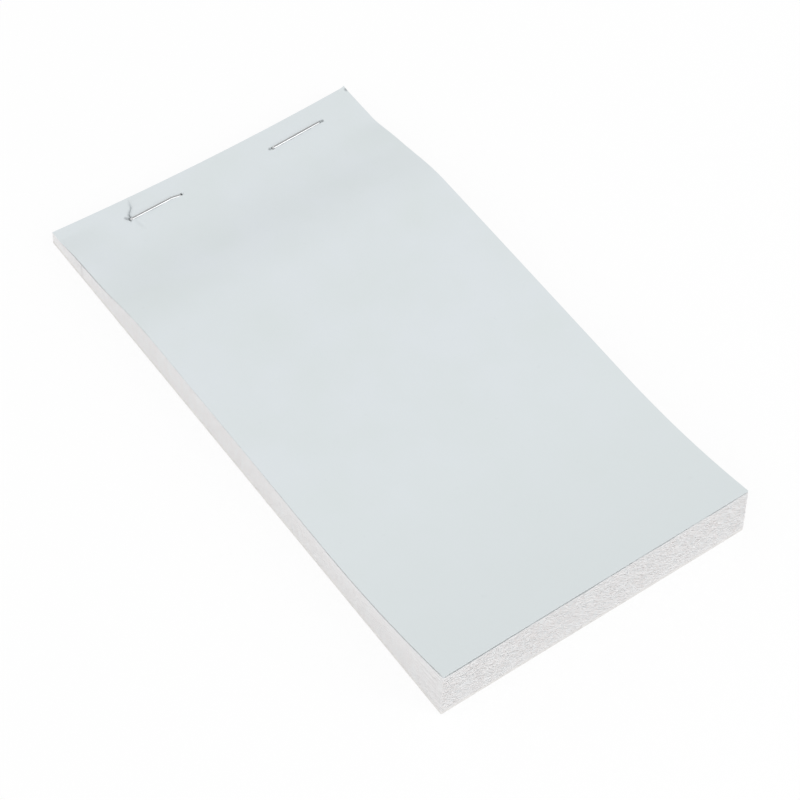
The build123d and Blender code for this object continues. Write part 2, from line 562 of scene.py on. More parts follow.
def bent_wire_tree():
    """Geometry nodes that round the corners of a path of edges and draw a flat-rolled wire along it."""
    tree, size, end = open_group(
        "Bent wire",
        "GeometryNodeTree",
        {
            "Geometry": ["Path"],
            "Float": ["Wire Width", "Wire Thickness", "Edge Radius"],
            "Material": ["Material"],
        },
        {"Geometry": ["Geometry"]},
    )

    bend_steps, edge_steps = 10, 5  # points round a bend of the wire and round one of its edges

    def rounded(curve, radius, steps):
        """A curve with its corners rounded."""
        inputs = {"Curve": curve, "Radius": radius, "Count": steps, "Limit Radius": True}
        return result(tree, "GeometryNodeFilletCurve", inputs, mode="POLY")

    path = result(tree, "GeometryNodeMeshToCurve", {"Mesh": size["Path"]})
    radius = result(tree, "GeometryNodeInputNamedAttribute", {"Name": BEND_RADIUS}, data_type="FLOAT")
    inputs = {"Curve": rounded(path, radius, bend_steps)}
    level = add_node(tree, "GeometryNodeSetCurveNormal", inputs, mode="FREE")
    feed(level.inputs["Normal"], (0.0, 1.0, 0.0))
    steepness = split(tree, result(tree, "GeometryNodeInputTangent"))[2].maths("ABSOLUTE")
    inputs = {"Width": size["Wire Width"], "Height": size["Wire Thickness"]}
    section = result(tree, "GeometryNodeCurvePrimitiveQuadrilateral", inputs, mode="RECTANGLE")
    inputs = {
        "Curve": store(tree, output(level), BENT, steepness),
        "Profile Curve": rounded(section, size["Edge Radius"], edge_steps),
        "Fill Caps": True,
    }
    finish_tree(tree, end, result(tree, "GeometryNodeCurveToMesh", inputs), size["Material"])
    return tree


def paper_fibre_group():
    """Shader group for paper: clouds in its tone, and the height and roughness of its fibres."""
    tree, given, end = open_group(
        PAPER_FIBRE,
        "ShaderNodeTree",
        {
            "Vector": ["Place"],
            "Color": ["Colour", "Cloud Colour"],
            "Float": ["Cloud Size", "Fibre Size", "Fibre Contrast", "Roughness"],
        },
        {"Color": ["Colour"], "Float": ["Roughness", "Height"]},
    )
    cloud_contrast, cloud_cover = 1.2, 0.4
    rough_fibre = 0.1  # how much rougher the paper is on a fibre
    cloud_noise = noise(tree, measured(tree, given["Place"], given["Cloud Size"]), 0.0, 2.0)
    cloud = (cloud_noise * cloud_contrast + cloud_cover).clamp()
    fibre = noise(tree, measured(tree, given["Place"], given["Fibre Size"]), 0.0, 3.0)
    clouded = mix_colours(tree, cloud, given["Colour"], given["Cloud Colour"])
    feed(end.inputs["Colour"], times(tree, clouded, fibre * given["Fibre Contrast"] + 1.0))
    feed(end.inputs["Roughness"], fibre * rough_fibre + given["Roughness"])
    feed(end.inputs["Height"], fibre)
    return tree


def ruled_form_group():
    """Shader group for the blank form of a receipt: a heading bar, writing lines and an amount box."""
    tree, given, end = open_group(
        RULED_FORM,
        "ShaderNodeTree",
        {"Vector": ["Place"], "Float": ["Printed"], "Color": ["Paper", "Ink"]},
        {"Color": ["Colour"]},
    )
    line_half = 0.14 * MM
    form_half = 31.0 * MM  # half the width of the printed form
    heading_at, heading_half = 24.0 * MM, 0.5 * MM
    first_line, line_pitch, last_line = 36.0 * MM, 10.0 * MM, 96.0 * MM
    box_middle, box_at, box_half, box_half_height = 17.0 * MM, 116.0 * MM, 14.0 * MM, 6.0 * MM
    ink_cover = 0.75
    across, run, _ = split(tree, given["Place"])
    in_form = across.within(0.0, form_half)
    heading = run.within(heading_at, heading_half)
    in_lines = run.within((first_line + last_line) / 2, (last_line - first_line) / 2 + line_half)
    lines = (run - first_line).maths("PINGPONG", line_pitch / 2).within(0.0, line_half) * in_lines
    box_x, box_y = (across - box_middle).maths("ABSOLUTE"), (run - box_at).maths("ABSOLUTE")
    box_outer = box_x.within(0.0, box_half) * box_y.within(0.0, box_half_height)
    inset = 2 * line_half
    box_inner = box_x.within(0.0, box_half - inset) * box_y.within(0.0, box_half_height - inset)
    ruled = (heading * in_form + lines * in_form + box_outer - box_inner).clamp()
    inked = ruled * given["Printed"] * ink_cover
    feed(end.inputs["Colour"], mix_colours(tree, inked, given["Paper"], given["Ink"]))
    return tree


def mix_colours(tree, share, first, second):
    """The first colour, turning into the second as share goes from 0 to 1."""
    return result(tree, "ShaderNodeMix", {0: share, 6: first, 7: second}, 2, data_type="RGBA")


def opaque(colour):
    """A setting's colour with an alpha of 1."""
    return (*colour, 1.0)


def toned(colour, red, green, blue):
    """A setting's colour with each channel times its own tone, and an alpha of 1."""
    return (colour[0] * red, colour[1] * green, colour[2] * blue, 1.0)


def open_material(name):
    """A new material: itself, its tree and its Principled shader."""
    material = bpy.data.materials.new(name)
    material.use_nodes = True
    return material, material.node_tree, material.node_tree.nodes["Principled BSDF"]


def mark(tree, name):
    """A number that the points of a piece carry."""
    return result(tree, "ShaderNodeAttribute", label="Fac", attribute_name=name)


def place_in_space(tree):
    """Where a point lies on a piece that carries no place on a flat sheet."""
    return result(tree, "ShaderNodeTexCoord", label="Object")


def raise_marks(tree, shader, height, strength, depth):
    """Turn the height of fibres or scratches into the shader's normal."""
    bump = result(tree, "ShaderNodeBump", {"Height": height, "Strength": strength, "Distance": depth})
    feed(shader.inputs["Normal"], bump)


def paper(name, on_sheet, fibres, gloss, depth):
    """A new paper: its material, tree and shader, the place on its sheet, and its tone."""
    fibre_strength = 0.6
    material, tree, shader = open_material(name)
    if on_sheet:
        place = result(tree, "ShaderNodeAttribute", label="Vector", attribute_name=FLAT_PLACE)
    else:
        place = place_in_space(tree)
    inputs = {"Place": place, **fibres}
    fibre = add_node(tree, "ShaderNodeGroup", inputs, node_tree=bpy.data.node_groups[PAPER_FIBRE])
    tone = output(fibre, "Colour")
    feed(shader.inputs["Base Color"], tone)
    feed(shader.inputs["Roughness"], output(fibre, "Roughness"))
    feed(shader.inputs["Specular IOR Level"], gloss)
    raise_marks(tree, shader, output(fibre, "Height"), fibre_strength, depth)
    return material, tree, shader, place, tone


def cover_paper():
    """Pale blue-grey cover sheet, smooth and faintly clouded, a little greener towards the free end."""
    colours = book().colours
    green_start, green_length = 75.0 * MM, 60.0 * MM  # along the sheet
    green_share = 0.8  # at the free end
    fleck_size, fleck_from, fleck_slope, fleck_grey = 1.7 * MM, 0.36, 4.0, 0.035
    fibres = {
        "Colour": opaque(colours.cover),
        "Cloud Colour": opaque(colours.cover_cloud),
        "Cloud Size": 11.0 * MM,
        "Fibre Size": 0.35 * MM,
        "Fibre Contrast": 0.012,
        "Roughness": 0.62,
    }
    material, tree, shader, place, tone = paper("Cover paper", True, fibres, gloss=0.3, depth=0.01 * MM)
    greener = ((split(tree, place)[1] - green_start) / green_length).clamp() * green_share
    tone = mix_colours(tree, greener, tone, opaque(colours.cover_cloud))
    flecks = noise(tree, measured(tree, place, fleck_size), 4.0, 1.0)
    fleck = ((flecks - fleck_from) * fleck_slope).clamp() * fleck_grey
    # Painted shade from the margin's dents, tears, pucker and corner spot, with the paper's own faint grey
    # flecks
    grey = mark(tree, PAINTED_SHADE).maths("MAXIMUM", fleck)
    feed(shader.inputs["Base Color"], mix_colours(tree, grey, tone, opaque(colours.painted_shade)))
    return material


def leaf_paper(name, colour, loose):
    """Thin paper of the leaves, with the ruled form on the loose sheets."""
    fibres = {
        "Colour": opaque(colour),
        "Cloud Colour": toned(colour, 0.98, 0.96, 0.955),
        "Cloud Size": 1.2 * MM,
        "Fibre Size": 0.3 * MM,
        "Fibre Contrast": 0.03,
        "Roughness": 0.8,
    }
    material, tree, shader, place, tone = paper(name, loose, fibres, gloss=0.2, depth=0.012 * MM)
    if loose:
        inputs = {"Place": place, "Printed": mark(tree, PRINTED), "Paper": tone}
        inputs["Ink"] = opaque(book().colours.ink)
        form = result(tree, "ShaderNodeGroup", inputs, node_tree=bpy.data.node_groups[RULED_FORM])
        feed(shader.inputs["Base Color"], form)
    return material


def grey_board():
    """Uncoated grey board with long pale and dark fibres."""
    colour = book().colours.board
    fibres = {
        "Colour": opaque(colour),
        "Cloud Colour": toned(colour, 1.12, 1.12, 1.12),
        "Cloud Size": 1.3 * MM,
        "Fibre Size": 0.4 * MM,
        "Fibre Contrast": 0.1,
        "Roughness": 0.85,
    }
    return paper("Grey board", False, fibres, gloss=0.2, depth=0.04 * MM)[0]


def staple_wire():
    """Galvanised wire: bright grey metal with draw marks, dull patches of zinc, and painted shade at its bends.
    """
    colour = book().colours.wire
    # The darker tone is painted shade for the wire's bends
    dull, painted_bend_shade_tone = toned(colour, 0.88, 0.88, 0.88), toned(colour, 0.55, 0.55, 0.55)
    mark_length, mark_width, zinc_size = 4.0 * MM, 0.09 * MM, 0.9 * MM
    zinc_cover, painted_bend_shade_slope, painted_bend_shade_from = 0.5, 1.8, 0.3
    least_rough, zinc_rough, mark_rough = 0.16, 0.08, 0.04
    mark_strength, mark_depth = 0.15, 0.004 * MM
    material, tree, shader = open_material("Staple wire")
    place = place_in_space(tree)
    across, along, up = split(tree, place)
    drawn = vector(tree, across / mark_length, along / mark_width, up / mark_width)
    marks = noise(tree, drawn, 0.0, 2.0)
    zinc = (noise(tree, measured(tree, place, zinc_size), 0.0, 2.0) + zinc_cover).clamp()
    tone = mix_colours(tree, zinc, opaque(colour), dull)
    # Painted shade: the wire is darkened where it turns down towards the holes, for the shade and dark
    # reflections there
    painted_bend_shade = (mark(tree, BENT) * painted_bend_shade_slope - painted_bend_shade_from).clamp()
    feed(shader.inputs["Base Color"], mix_colours(tree, painted_bend_shade, tone, painted_bend_shade_tone))
    feed(shader.inputs["Roughness"], zinc * zinc_rough + marks * mark_rough + least_rough)
    feed(shader.inputs["Metallic"], 1.0)
    raise_marks(tree, shader, marks, mark_strength, mark_depth)
    return material


def floor_white():
    """Matt white floor that keeps the book's shadow, and is near white where the camera or a gloss sees it."""
    glow_share, grain_size, grain_contrast = 0.85, 4.0 * MM, 0.005
    material, tree, shader = open_material("Floor white")
    grain = noise(tree, measured(tree, place_in_space(tree), grain_size), 0.0, 2.0) * grain_contrast
    tone = times(tree, tuple(book().studio.floor), grain + 1.0)
    matt = result(tree, "ShaderNodeBsdfDiffuse", {"Color": tone})
    glow = result(tree, "ShaderNodeEmission", {"Color": WHITE, "Strength": 1.0})
    path = add_node(tree, "ShaderNodeLightPath")
    seen = output(path, "Is Camera Ray") + output(path, "Is Glossy Ray") + output(path, "Is Transmission Ray")
    mixed = result(tree, "ShaderNodeMixShader", {0: seen.clamp() * glow_share, 1: matt, 2: glow})
    feed(tree.nodes["Material Output"].inputs["Surface"], mixed)
    tree.nodes.remove(shader)
    return material


def grid_sheet(name, across, along, upper, lower, cut_out):
    """A closed sheet over a grid of lines, with the heights of its two faces and some cells cut out."""
    rows, columns = len(along), len(across)
    flat_x, flat_y = np.meshgrid(across, along)
    points = [np.stack([flat_x, flat_y, height], axis=-1).reshape(-1, 3) for height in (upper, lower)]
    below = rows * columns
    kept = np.zeros((rows + 1, columns + 1), bool)
    kept[1:-1, 1:-1] = ~cut_out
    faces = []
    for row in range(1, rows):
        for column in range(1, columns):
            if not kept[row, column]:
                continue
            corner = (row - 1) * columns + column - 1
            ring = [corner, corner + 1, corner + 1 + columns, corner + columns]
            faces.append(ring)
            faces.append([point + below for point in reversed(ring)])
            covered = [
                kept[row - 1, column],
                kept[row, column + 1],
                kept[row + 1, column],
                kept[row, column - 1],
            ]
            for side in range(4):
                if not covered[side]:
                    first, second = ring[side], ring[(side + 1) % 4]
                    faces.append([second, first, first + below, second + below])
    used = np.unique(np.array(faces))
    places = np.concatenate(points)[used]
    mesh = bpy.data.meshes.new(name)
    mesh.from_pydata(places.tolist(), [], np.searchsorted(used, np.array(faces)).tolist())
    mesh.shade_smooth()
    mesh.set_sharp_from_angle(angle=SHARP_FROM)
    return mesh


def sheet_sizes(share):
    """What the loose sheets have in common, for the share of the cover's lift that one of them has."""
    lie = book().lie
    return {
        "Width": pad_width,
        "Length": sheet_length,
        "Fold Line": fold_line,
        "Fold Setback": rear_edge - fold_line,
        "Swell Rise": lie.swell_rise * share,
        "Swell Length": lie.swell_length,
        "Curl Rise": (cover_lift - lie.swell_rise) * share,
        "Curl Length": lie.curl_length,
        "Flare Width": lie.flare_width,
        "Right Flare": lie.right_flare,
        "Out Of Square": lie.out_of_square * (LOW_CUT + (1.0 - LOW_CUT) * share),
        "Front Lean": lie.front_lean * (1.0 - share),
        "Side Cut": lie.side_cut * share,
    }


class RECEIPTBOOK_OT_lay_leaves(bpy.types.Operator):
    """Lay the fifty loose leaves in the pad, each bending at its own perforation"""

    bl_idname = "receipt_book.lay_leaves"
    bl_label = "Lay leaves"

    def execute(self, context):
        lie, leaves, colours = book().lie, book().leaves, book().colours
        tree = loose_sheet_tree()
        room = leaf_pitch + cover_lift / (len(leaf_names) + 1)
        least_ragged = 0.45  # of a leaf with no freedom
        papers = {
            "top_copy": leaf_paper("Top copy paper", colours.top_copy, True),
            "duplicate": leaf_paper("Duplicate paper", colours.duplicate, True),
        }
        for name in leaf_names:
            share = leaf_share(name)
            freedom = 1.0 - (2.0 * share - 1.0) ** 4  # none next to the cover and the board
            copy = name.rsplit("_", 1)[0]
            sizes = {
                "Columns": leaves.columns,
                "Rows": leaves.rows,
                "Level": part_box(name)[0].z,
                "Thickness": leaves.thickness,
                "Edge Thickness": room * leaves.bulk,
                "Gape": lie.gape * share**3,
                "Flare Rise": leaf_flare(name),
                "Flare Bulk": flare_bulk(),
                "Perforated": 1.0,
                "Slit Setback": leaves.slit_setback,
                "Slit Width": leaves.slit_width,
                "Ripple Height": leaves.ripple_height * freedom,
                "Ripple Length": leaves.ripple_length,
                "Ripple Zone": leaves.ripple_zone,
                "Ragged Edge": leaves.ragged * (least_ragged + (1.0 - least_ragged) * freedom),
                "Seed": float(leaves.seed),
                "Material": papers[copy],
            }
            piece = grow(f"{name}_leaf", tree, sheet_sizes(share) | sizes)
            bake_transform(piece)
            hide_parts(name)
        return {"FINISHED"}


class RECEIPTBOOK_OT_press_stubs(bpy.types.Operator):
    """Press the bound ends of the leaves together, slit by the staples and rising a little at the left"""

    bl_idname = "receipt_book.press_stubs"
    bl_label = "Press stubs"

    def execute(self, context):
        colours = book().colours
        for copy, colour in (("top_copy", colours.top_copy), ("duplicate", colours.duplicate)):
            stub_paper = leaf_paper(f"{copy.replace('_', ' ').capitalize()} stub", colour, False)
            stubs = make_piece(f"{copy}_stub_sheets", self.stub_mesh(copy), stub_paper)
            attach(stubs, "binding")
            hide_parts(f"{copy}_stubs")
        return {"FINISHED"}

    def stub_mesh(self, copy):
        """The bound ends of all the leaves of one kind, each a thin sheet with slits for the legs."""
        staples, leaves = book().staples, book().leaves
        clearance = 0.03 * MM  # between a leg and its slit
        even_lines, flare_lines, front_lines, rear_lines = 20, 15, 6, 7  # of the grid
        inner_part = 0.99  # lines this far into a slit are left out, and those on its sides stay
        slit_half, slit_reach = staples.bend_radius + clearance, wire_width / 2 + clearance
        legs = [end for name in STAPLES for end in (crown_route(name)[0][0], crown_route(name)[-1][0])]
        flare_end = board_low.x + 2 * book().lie.flare_width
        slit_sides = [leg + side * slit_half for leg in legs for side in (-1, 1)]
        across = np.linspace(board_low.x, board_high.x, even_lines)
        across = np.unique([*across, *np.linspace(board_low.x, flare_end, flare_lines), *slit_sides])
        in_slit = np.min([np.abs(across - leg) for leg in legs], axis=0) < slit_half * inner_part
        across = across[~in_slit]
        front_part = np.linspace(fold_line, wire_line - slit_reach, front_lines)
        along = np.concatenate([front_part, np.linspace(wire_line + slit_reach, rear_edge, rear_lines)])
        cell_x, cell_y = cell_middles(across, along)
        cut_out = np.abs(cell_y - wire_line) < slit_reach
        cut_out &= np.min([np.abs(cell_x - leg) for leg in legs], axis=0) < slit_half
        flared = flare_share(*np.meshgrid(across, along))
        stack = bmesh.new()
        for name in leaf_names:
            if name.startswith(copy):
                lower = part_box(name)[0].z + leaf_flare(name) * flared
                upper = lower + leaves.thickness + flare_bulk() * flared
                sheet = grid_sheet(name, across, along, upper, lower, cut_out)
                stack.from_mesh(sheet)
                bpy.data.meshes.remove(sheet)
        mesh = bpy.data.meshes.new(f"{copy}_stub_sheets")
        stack.to_mesh(mesh)
        stack.free()
        bow_rear_edge(mesh)
        return mesh


class RECEIPTBOOK_OT_lay_cover(bpy.types.Operator):
    """Lay the cover sheet: its loose part, and its margin with the marks of the staples"""

    bl_idname = "receipt_book.lay_cover"
    bl_label = "Lay cover"

    def execute(self, context):
        lie = book().lie
        card = cover_paper()
        sizes = {  # what is left out stays 0: the cover has no gape and no perforation
            "Columns": 120,
            "Rows": 120,
            "Level": margin_low.z,
            "Thickness": cover_thickness,
            "Edge Thickness": cover_thickness,
            "Flare Rise": lie.flare_rise,
            "Ripple Height": 0.06 * MM,
            "Ripple Length": 22.0 * MM,
            "Ripple Zone": 20.0 * MM,
            "Ragged Edge": 0.03 * MM,
            "Seed": 3.0,
            "Material": card,
        }
        piece = grow("cover_sheet", bpy.data.node_groups[LOOSE_SHEET], sheet_sizes(1.0) | sizes)
        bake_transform(piece)
        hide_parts("front_cover")
        margin = make_piece("cover_margin_sheet", self.margin_mesh(), card)
        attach(margin, "binding")
        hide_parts("cover_margin")
        return {"FINISHED"}

    def margin_mesh(self):
        """The cover's margin: pressed under the crowns, holed by the legs, torn beside one leg, lifted at a
        corner and given painted shade in its marks.
        """
        staples = book().staples
        crowns = [[(x, y) for x, y, _ in crown_route(name)] for name in STAPLES]
        legs = [leg for crown in crowns for leg in (crown[0], crown[-1])]
        tears = [[legs[0], *pad_places(route)] for route, _ in TEARS]
        across, along = self.margin_lines(legs)
        x, y = np.meshgrid(across, along)
        least_paper = 0.02 * MM  # left where the cover is pressed thin
        corner_lift, corner_reach = 0.3 * MM, 1.6 * MM
        tear_part = 0.75  # of a tear's length that is open
        from_corner = np.hypot(x - pad_width / 2, y - rear_edge)
        corner = corner_lift * np.clip(1.0 - from_corner / corner_reach, 0, 1) ** 2
        lower = margin_low.z + book().lie.flare_rise * flare_share(x, y) + corner
        relief = self.margin_relief(x, y, crowns, tears)
        upper = np.maximum(lower + cover_thickness + relief, lower + least_paper)

        cell_x, cell_y = cell_middles(across, along)
        cut_out = np.zeros(cell_x.shape, bool)
        for leg_x, leg_y in legs:
            in_hole = np.abs(cell_x - leg_x) < staples.thickness / 2 + staples.hole_clearance
            cut_out |= in_hole & (np.abs(cell_y - leg_y) < wire_width / 2 + staples.hole_clearance)
        for route in tears:
            away, _, done = beside(cell_x, cell_y, route)
            cut_out |= away < staples.tear_width / 2 * (1.0 - done / tear_part)
        mesh = grid_sheet("cover_margin_sheet", across, along, upper, lower, cut_out)
        self.mark_margin(mesh, tears)
        bow_rear_edge(mesh)
        return mesh

    def margin_lines(self, legs):
        """Grid lines across and along the margin, closer together round its marks."""
        fine, wide_step, long_step = 0.1 * MM, 0.6 * MM, 0.3 * MM
        leg_reach, corner_reach, crown_reach = 2.5 * MM, 2.0 * MM, 1.2 * MM
        crown_front = wire_line - crown_reach
        across = [np.arange(-pad_width / 2, pad_width / 2, wide_step), [pad_width / 2]]
        across += [np.arange(x - leg_reach, x + leg_reach, fine) for x, _ in legs]
        across += [np.arange(pad_width / 2 - corner_reach, pad_width / 2, fine)]
        along = [np.arange(fold_line, crown_front, long_step), [rear_edge]]
        along += [np.arange(crown_front, rear_edge, fine)]
        return [merged_lines(lines, fine * 0.6) for lines in (across, along)]

    def margin_relief(self, x, y, crowns, tears):
        """How far the margin's upper face is raised: below 0 in dents and grooves, above 0 beside them."""
        staples = book().staples
        groove_wall = 0.08 * MM
        swollen, swollen_reach = 0.06 * MM, 0.45 * MM  # paper beside a groove
        lip_reach, lip_fade, lip_fall = 0.5 * MM, 0.6, -0.35  # of a tear; its other lip is pressed down
        dent_depth, pucker_depth, pucker_reach = 0.12 * MM, 0.13 * MM, 0.5 * MM
        raised = np.zeros(x.shape)
        for crown in crowns:
            beyond = beside(x, y, crown)[0] - wire_width / 2
            raised -= staples.sink * np.clip(-beyond / groove_wall, 0, 1)
            raised += swollen * np.clip(1.0 - np.abs(beyond) / swollen_reach, 0, 1) ** 2
        for route in tears:
            away, side, done = beside(x, y, route)
            lip = np.exp(-away / lip_reach) * (1.0 - done) ** lip_fade
            raised += staples.tear_lift * lip * np.where(side < 0, 1.0, lip_fall)
        for route, _ in DENTS:
            raised -= dent_depth * dot(beside(x, y, pad_places(route))[0])
        away, _, done = beside(x, y, pad_places(PUCKER))
        pucker = pucker_depth * np.exp(-((away / pucker_reach) ** 2))
        return raised - pucker * np.sin(np.pi * np.clip(done, 0.0, 1.0))

    def mark_margin(self, mesh, tears):
        """Store where each point of the margin lies on the flat cover sheet, and how much painted shade it has.
        """
        spot_radius, spot_end = 0.45 * MM, 1.4  # the spot ends at this many radii
        line_reach, line_fade = 0.35 * MM, 0.8
        x, y, _ = np.array([point.co for point in mesh.vertices]).T
        flat = np.stack([x, rear_edge - y, np.full(len(x), margin_low.z)], axis=-1)
        places = mesh.attributes.new(FLAT_PLACE, "FLOAT_VECTOR", "POINT")
        places.data.foreach_set("vector", flat.astype(np.float32).ravel())
        # Painted shade: the corner spot, the dents, the tears and the pucker are greyed
        spot_x, spot_y = pad_places([CORNER_SHADE_SPOT])[0]
        painted_shade = CORNER_GREY * np.clip(spot_end - np.hypot(x - spot_x, y - spot_y) / spot_radius, 0, 1)
        for route, grey in DENTS:
            painted_shade = np.maximum(painted_shade, grey * dot(beside(x, y, pad_places(route))[0]))
        lines = [(route, grey) for route, (_, grey) in zip(tears, TEARS)]
        for route, grey in (*lines, (pad_places(PUCKER), PUCKER_GREY)):
            away, _, done = beside(x, y, route)
            line = grey * np.exp(-((away / line_reach) ** 2)) * (1.0 - done) ** line_fade
            painted_shade = np.maximum(painted_shade, line)
        attribute = mesh.attributes.new(PAINTED_SHADE, "FLOAT", "POINT")
        attribute.data.foreach_set("value", painted_shade.astype(np.float32))


def pad_places(places):
    """Places on the book from millimetres across it and in from the stapled edge."""
    return [(across * MM, rear_edge - inwards * MM) for across, inwards in places]


def cell_middles(across, along):
    """The middles of the cells between grid lines."""
    return np.meshgrid((across[1:] + across[:-1]) / 2, (along[1:] + along[:-1]) / 2)


def flare_share(x, y):
    """How far the sheets stand up beside the staples, as a share of their flare at its highest."""
    start, stop, skew = LEFT_FLARE
    part = np.clip((rear_edge - y - start) / (stop - start), 0, 1) ** skew
    away = (x - board_low.x) / book().lie.flare_width
    return np.exp(-(away**2)) * np.sin(np.pi * part) ** 2


def leaf_share(name):
    """The share of the cover's lift that a leaf has: little on the board, and nearly all under the cover."""
    low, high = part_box(name)
    bedded = 0.8 / (len(leaf_names) + 1)  # the lowest leaf lies nearly flat on the board
    share = (high.z - low.z - book().leaves.thickness) / cover_lift
    return (share - bedded) / (1.0 - bedded)


def leaf_flare(name):
    """How far the left side of a leaf stands up beside the staples."""
    return book().lie.flare_rise * book().lie.flare_follow * leaf_share(name)


def flare_bulk():
    """How much thicker a leaf gets where the flare gives it more room."""
    lie = book().lie
    return lie.flare_rise * lie.flare_follow / (len(leaf_names) + 1) * book().leaves.bulk


def bow_rear_edge(mesh):
    """Draw the stapled edge of a sheet in between its corners, and let the corners out."""
    start = wire_line + 1.0 * MM  # in front of it nothing moves
    lowest = 2.0 * MM  # across the book, where the edge is drawn in most
    drawn_in = 0.58  # share of the bow that is drawn in, the rest being let out
    for point in mesh.vertices:
        part = max(0.0, (point.co.y - start) / (rear_edge - start))
        bow = ((point.co.x - lowest) / (pad_width / 2)) ** 2 - drawn_in
        point.co.y += book().lie.rear_bow * bow * part


def crown_route(name):
    """The crown of a staple from leg to leg: across the book, along it, and how far below its own level."""
    low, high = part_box(name)
    half = book().staples.thickness / 2
    left, right = low.x + half, high.x - half
    if name == "staple_left":  # its right end slopes into the hole
        slope_length, slope_drop = 2.3 * MM, 0.3 * MM
        slope_start, slope_end = 0.18 * MM, -0.05 * MM  # behind the wire line
        return [
            (left, wire_line, 0.0),
            (right - slope_length, wire_line + slope_start, 0.0),
            (right, wire_line + slope_end, slope_drop),
        ]
    left_end, right_end = -0.1 * MM, 0.45 * MM  # behind the wire line, because the crown lies slanted
    return [(left, wire_line + left_end, 0.0), (right, wire_line + right_end, 0.0)]


def dot(away, radius=0.33 * MM):
    """A round mark with a soft rim: 1 in the middle of it and 0 outside."""
    rim = 1.5  # the mark ends at this many radii
    return np.clip(rim - away / radius, 0, 1)


def merged_lines(lines, least):
    """Grid lines in order, without those closer than least to the one before or to the last."""
    ordered = np.unique(np.concatenate([np.asarray(line, float) for line in lines]))
    low, high = ordered[0], ordered[-1]
    kept = [low]
    for line in ordered[1:-1]:
        if line - kept[-1] >= least and high - line >= least:
            kept.append(line)
    return np.array([*kept, high])


def beside(x, y, route):
    """For points near a route: distance to it, side of it (1 left, -1 right) and share of it done."""
    lengths = [math.dist(a, b) for a, b in zip(route, route[1:])]
    away = np.full(x.shape, np.inf)
    side, done = np.zeros(x.shape), np.zeros(x.shape)
    for place, (start, stop) in enumerate(zip(route, route[1:])):
        step_x, step_y = stop[0] - start[0], stop[1] - start[1]
        part = ((x - start[0]) * step_x + (y - start[1]) * step_y) / lengths[place] ** 2
        part = np.clip(part, 0, 1)
        off_x, off_y = x - start[0] - part * step_x, y - start[1] - part * step_y
        nearer = np.hypot(off_x, off_y) < away
        away = np.where(nearer, np.hypot(off_x, off_y), away)
        side = np.where(nearer, np.sign(step_x * off_y - step_y * off_x), side)
        done = np.where(nearer, (sum(lengths[:place]) + part * lengths[place]) / sum(lengths), done)
    return away, side, done


class RECEIPTBOOK_OT_bend_staples(bpy.types.Operator):
    """Bend the two staples, with their crowns on the cover and their legs clinched under the board"""

    bl_idname = "receipt_book.bend_staples"
    bl_label = "Bend staples"

    def execute(self, context):
        staples = book().staples
        tree = bent_wire_tree()
        sizes = {
            "Wire Width": wire_width,
            "Wire Thickness": staples.thickness,
            "Edge Radius": staples.edge_radius,
            "Material": staple_wire(),
        }
        for name in STAPLES:
            piece = grow(f"{name}_wire", tree, sizes, self.wire_path(name))
            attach(piece, "binding")
            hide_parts(name)
        return {"FINISHED"}

    def wire_path(self, name):
        """The corners of the wire's centre line as a path of edges, each with its bend radius."""
        staples = book().staples
        low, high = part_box(name)
        half = staples.thickness / 2
        middle = (low.x + high.x) / 2
        tip = staples.clinch_gap / 2
        clinch = low.z + half
        crown = [(x, y, high.z - half - staples.sink - drop) for x, y, drop in crown_route(name)]
        first_leg = [(middle - tip, wire_line, clinch), (low.x + half, wire_line, clinch)]
        last_leg = [(high.x - half, wire_line, clinch), (middle + tip, wire_line, clinch)]
        corners = [*first_leg, *crown, *last_leg]
        path = bpy.data.meshes.new("wire_path")
        path.from_pydata(corners, [(corner, corner + 1) for corner in range(len(corners) - 1)], [])
        radii = [staples.bend_radius] * 2 + [staples.shoulder_radius] * len(crown) + [staples.bend_radius] * 2
        path.attributes.new(BEND_RADIUS, "FLOAT", "POINT").data.foreach_set("value", radii)
        return path


def weld(mesh, cuts):
    """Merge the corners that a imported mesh's triangles share, cut it along the book and shade it flat."""
    same_corner, on_cut = 0.001 * MM, 1e-7  # distances that count as none
    welded = bmesh.new()
    welded.from_mesh(mesh)
    bmesh.ops.remove_doubles(welded, verts=welded.verts, dist=same_corner)
    for place in cuts:
        parts = [*welded.verts, *welded.edges, *welded.faces]
        point, direction = (place, 0.0, 0.0), (1.0, 0.0, 0.0)
        bmesh.ops.bisect_plane(welded, geom=parts, dist=on_cut, plane_co=point, plane_no=direction)
    welded.to_mesh(mesh)
    welded.free()
    mesh.shade_flat()


class RECEIPTBOOK_OT_cut_board(bpy.types.Operator):
    """Cut the back board level with the leaves and give it its grey fibres"""

    bl_idname = "receipt_book.cut_board"
    bl_label = "Cut board"

    def execute(self, context):
        lie = book().lie
        strips = 15  # that the board is cut into, so that its rear edge can bow
        front_reach = 0.1 * MM  # points nearer than this to the free edge lie on it
        mesh = frame["nodes"]["back_board"].data.copy()
        weld(mesh, cuts=np.linspace(board_low.x, board_high.x, strips + 1)[1:-1])
        bow_rear_edge(mesh)
        for point in mesh.vertices:
            if point.co.y - free_edge < front_reach:
                right_share = (point.co.x - board_low.x) / pad_width
                point.co.y += lie.out_of_square * LOW_CUT * right_share - lie.front_lean
        board = make_piece("board_sheet", mesh, grey_board())
        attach(board, "binding")
        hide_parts("back_board")
        return {"FINISHED"}


